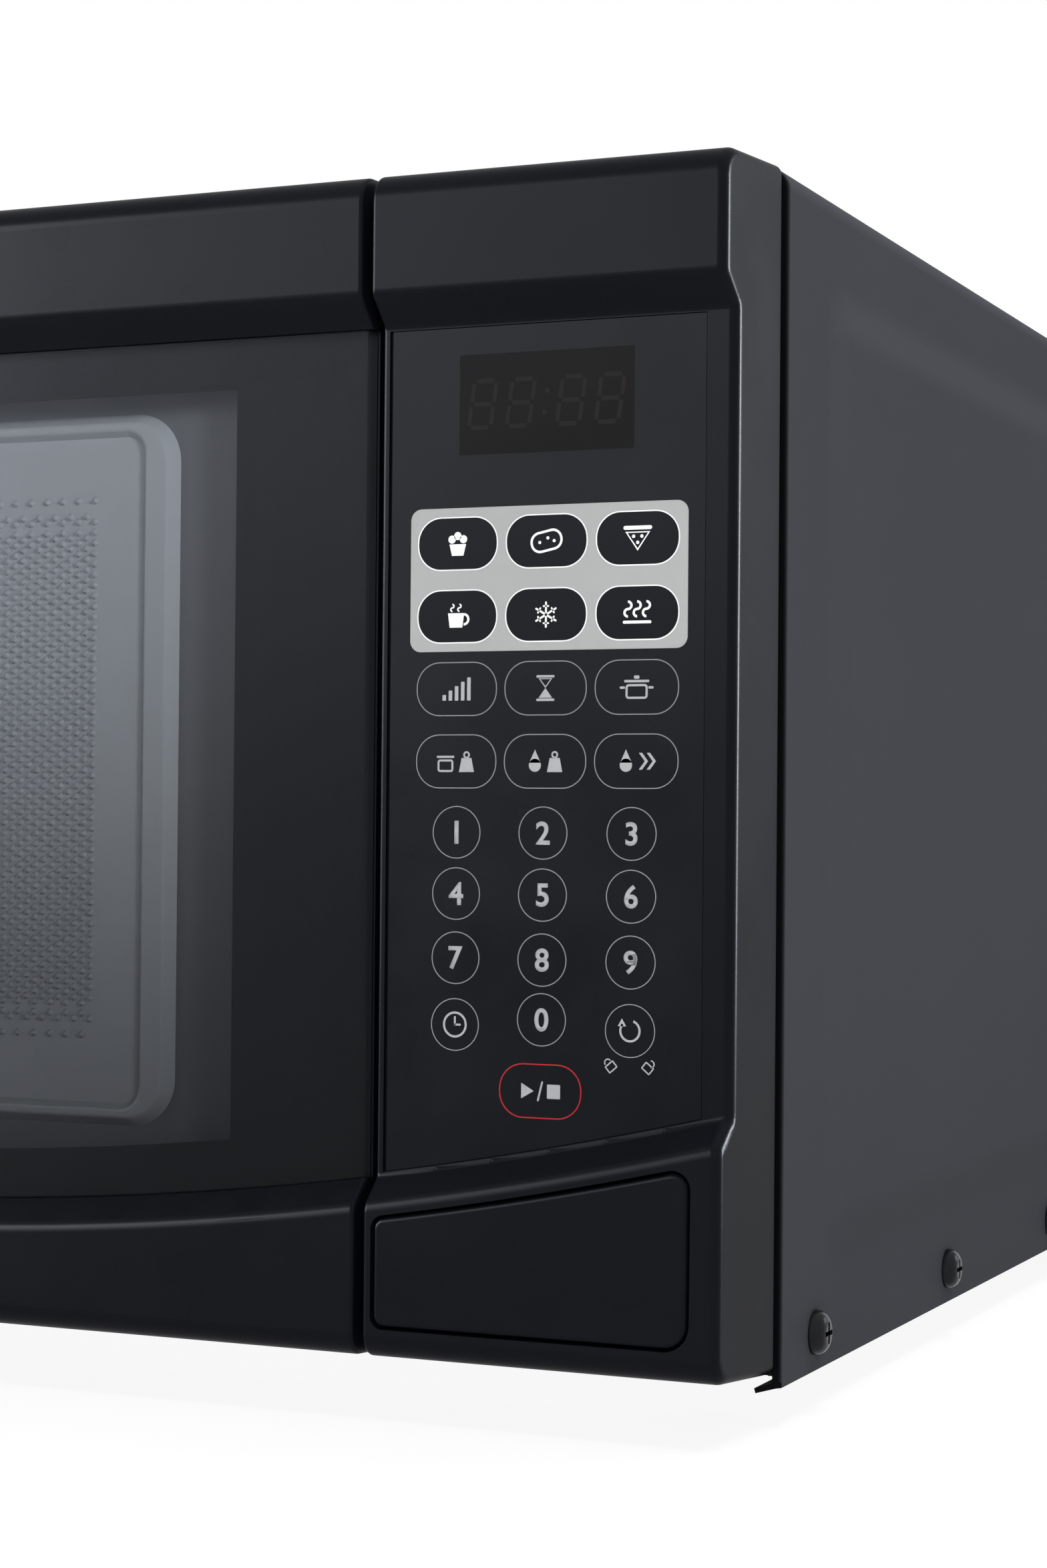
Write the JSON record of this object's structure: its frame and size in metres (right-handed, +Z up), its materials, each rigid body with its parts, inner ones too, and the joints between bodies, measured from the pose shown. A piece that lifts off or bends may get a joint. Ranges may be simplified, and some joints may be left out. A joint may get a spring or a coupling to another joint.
{
  "type": "microwave oven",
  "caption": "Compact countertop microwave oven with a left-hinged window door, a push-button release, a membrane keypad, a turntable and a fan-cooled power bay.",
  "frame": {"origin": "on the worktop under the middle of the oven", "axes": "+X to the right seen from the front, +Y from the door to the back, +Z up"},
  "size_m": [0.4538, 0.3382, 0.26],
  "materials": {
    "black_moulding": "satin black moulding",
    "cabinet_paint": "dark grey satin paint",
    "key_sheet": "printed dark film",
    "smoked_glass": "smoked glass",
    "screen_paint": "grey satin paint",
    "clear_film": "clear film",
    "cavity_enamel": "light grey enamel",
    "zinc_steel": "zinc plated",
    "bright_steel": "bright plated",
    "screw_black": "black plated steel",
    "front_enamel": "black enamel",
    "black_plastic": "black moulded",
    "white_plastic": "natural acetal",
    "grey_plastic": "grey moulded",
    "display_lens": "dark tinted lens",
    "circuit_board": "bare laminate",
    "core_steel": "laminated steel",
    "winding_wire": "enamelled copper",
    "copper": "bare copper",
    "fin_metal": "mill finish",
    "ferrite": "sintered",
    "mica": "mica sheet",
    "tray_glass": "clear glass",
    "bulb_glass": "clear bulb",
    "foot_rubber": "black rubber",
    "spring_steel": "spring wire"
  },
  "bodies": {
    "oven": {"outer_cabinet": "cabinet_paint", "base_plate": "zinc_steel", "rear_panel": "zinc_steel", "front_plate": "front_enamel", "cavity_liner": "cavity_enamel", "feet": "foot_rubber", "cabinet_screws": "screw_black", "upper_hinge_bracket": "front_enamel", "lower_hinge_bracket": "front_enamel", "control_fascia": "black_moulding", "keypad_overlay": "key_sheet", "display_module": "display_lens", "control_board": "circuit_board", "interlock_bracket": "grey_plastic", "microswitches": "black_plastic", "button_spring": "spring_steel", "waveguide": "zinc_steel", "waveguide_cover": "mica", "magnetron_yoke": "zinc_steel", "magnetron_anode": "copper", "magnetron_magnets": "ferrite", "magnetron_fins": "fin_metal", "magnetron_filter_box": "zinc_steel", "transformer_core": "core_steel", "transformer_windings": "winding_wire", "hv_capacitor": "fin_metal", "capacitor_clamp": "zinc_steel", "hv_diode": "black_plastic", "fan_shroud": "grey_plastic", "fan_motor": "core_steel", "air_guide": "grey_plastic", "lamp_socket": "zinc_steel", "lamp_bulb": "bulb_glass", "thermal_cutout": "black_plastic", "filter_board": "circuit_board", "cord_bushing": "black_plastic", "turntable_motor": "zinc_steel"},
    "door": {"door_frame": "black_moulding", "door_glass": "smoked_glass", "door_screen": "screen_paint", "door_inner_film": "clear_film", "door_choke": "zinc_steel", "choke_cover": "black_plastic", "hinge_pins": "bright_steel", "latch_spring": "spring_steel"},
    "latch": {"latch_hook": "white_plastic"},
    "button": {"release_button": "black_moulding"},
    "lever": {"release_lever": "white_plastic"},
    "primary_pin": {"primary_plunger": "white_plastic"},
    "secondary_pin": {"secondary_plunger": "white_plastic"},
    "monitor_pin": {"monitor_plunger": "white_plastic"},
    "turntable": {"turntable_coupler": "white_plastic", "glass_tray": "tray_glass"},
    "roller_track": {"roller_ring": "grey_plastic"},
    "wheel_1": {"roller_1": "white_plastic"},
    "wheel_2": {"roller_2": "white_plastic"},
    "wheel_3": {"roller_3": "white_plastic"},
    "fan": {"fan_blade": "grey_plastic", "fan_shaft": "core_steel"}
  },
  "joints": [
    {"name": "door_hinge", "type": "hinge", "parent": "oven", "child": "door", "pos_m": [-0.216, -0.154, 0.136], "axis": [0, 0, -1], "range_deg": [0, 110]},
    {"name": "latch_lift", "type": "slide", "parent": "door", "child": "latch", "axis": [0, 0, 1], "range_m": [0, 0.0049], "stiffness_N_per_m": 120, "springref_m": -0.004, "deforming": ["latch_spring"]},
    {"name": "button_press", "type": "slide", "parent": "oven", "child": "button", "axis": [0, 1, 0], "range_m": [0, 0.006], "stiffness_N_per_m": 220, "springref_m": -0.008, "deforming": ["button_spring"]},
    {"name": "lever_pivot", "type": "hinge", "parent": "oven", "child": "lever", "pos_m": [0.1415, -0.131, 0.0485], "axis": [1, 0, 0], "range_deg": [0, 15.6]},
    {"name": "primary_switch", "type": "slide", "parent": "oven", "child": "primary_pin", "axis": [0, -1, 0], "range_m": [0, 0.0013]},
    {"name": "secondary_switch", "type": "slide", "parent": "oven", "child": "secondary_pin", "axis": [0, -1, 0], "range_m": [0, 0.0013]},
    {"name": "monitor_switch", "type": "slide", "parent": "oven", "child": "monitor_pin", "axis": [0, 0, 1], "range_m": [0, 0.0013]},
    {"name": "turntable_spin", "type": "hinge", "parent": "oven", "child": "turntable", "pos_m": [-0.042, 0.0065, 0.04], "axis": [0, 0, 1], "continuous": true},
    {"name": "roller_ring_spin", "type": "hinge", "parent": "oven", "child": "roller_track", "pos_m": [-0.042, 0.0065, 0.0406], "axis": [0, 0, 1], "continuous": true},
    {"name": "fan_spin", "type": "hinge", "parent": "oven", "child": "fan", "pos_m": [0.168, 0.112, 0.17], "axis": [0, 1, 0], "continuous": true},
    {"name": "roller_1_spin", "type": "hinge", "parent": "roller_track", "child": "wheel_1", "pos_m": [0.04027, 0.054, 0.0406], "axis": [0.866, 0.5, 0], "continuous": true},
    {"name": "roller_2_spin", "type": "hinge", "parent": "roller_track", "child": "wheel_2", "pos_m": [-0.12427, 0.054, 0.0406], "axis": [-0.866, 0.5, 0], "continuous": true},
    {"name": "roller_3_spin", "type": "hinge", "parent": "roller_track", "child": "wheel_3", "pos_m": [-0.042, -0.0885, 0.0406], "axis": [0, -1, 0], "continuous": true}
  ],
  "couplings": [
    {"joint": "latch_lift", "follows": "button_press", "ratio": 0.8},
    {"joint": "lever_pivot", "follows": "button_press", "rad_per_m": 45},
    {"joint": "primary_switch", "follows": "button_press", "ratio": 0.2},
    {"joint": "secondary_switch", "follows": "button_press", "ratio": 0.2},
    {"joint": "monitor_switch", "follows": "button_press", "ratio": 0.2},
    {"joint": "roller_ring_spin", "follows": "turntable_spin", "ratio": 0.5},
    {"joint": "roller_1_spin", "follows": "turntable_spin", "ratio": -6.5068},
    {"joint": "roller_2_spin", "follows": "turntable_spin", "ratio": -6.5068},
    {"joint": "roller_3_spin", "follows": "turntable_spin", "ratio": -6.5068}
  ]
}
